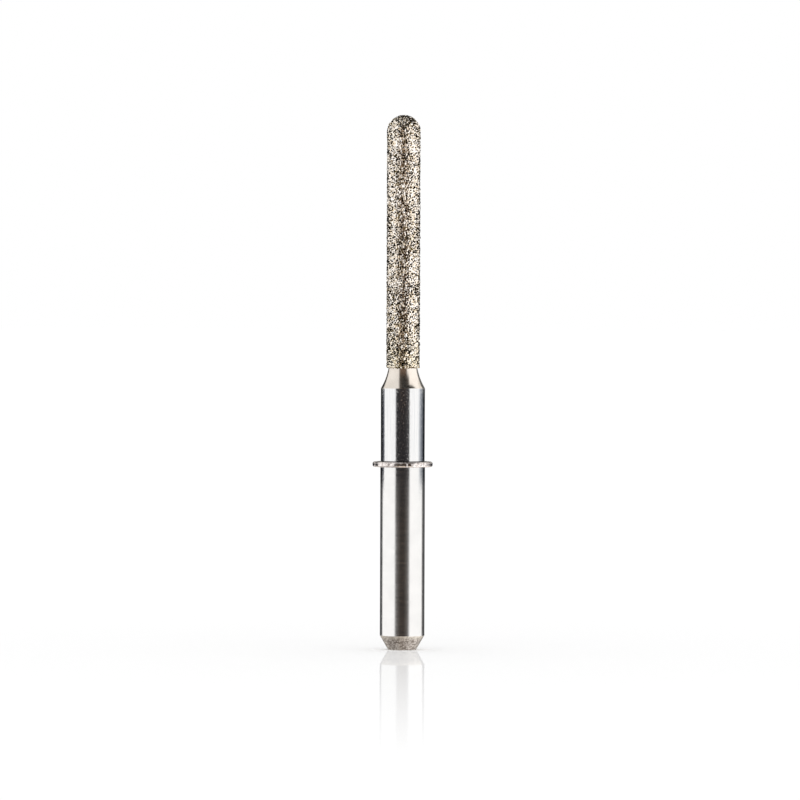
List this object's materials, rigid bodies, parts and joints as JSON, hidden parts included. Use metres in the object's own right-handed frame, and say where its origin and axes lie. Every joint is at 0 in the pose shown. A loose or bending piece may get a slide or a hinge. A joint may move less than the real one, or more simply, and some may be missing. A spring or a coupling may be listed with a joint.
{
  "type": "dental milling bur",
  "caption": "Slender rotary grinding tool: chamfered straight shank with a thin stop ring, a waisted neck and a long diamond-coated cylinder with a ball nose.",
  "frame": {"origin": "centre of the flat end face of the shank", "axes": "+Z along the tool's axis, from the shank's end face to the ball nose; X and Y are square to it and alike, because the tool is round"},
  "size_m": [0.004, 0.004, 0.036],
  "materials": {
    "ground_steel": "centreless ground and polished, with fine marks round the axis",
    "ring_steel": "tumbled and slightly dull, with a rounded rim",
    "diamond_grit": "coarse diamond grit in a nickel bond, rough and glinting"
  },
  "bodies": {
    "root": {"blank": "ground_steel", "stop_ring": "ring_steel", "diamond_coating": "diamond_grit"}
  },
  "joints": []
}
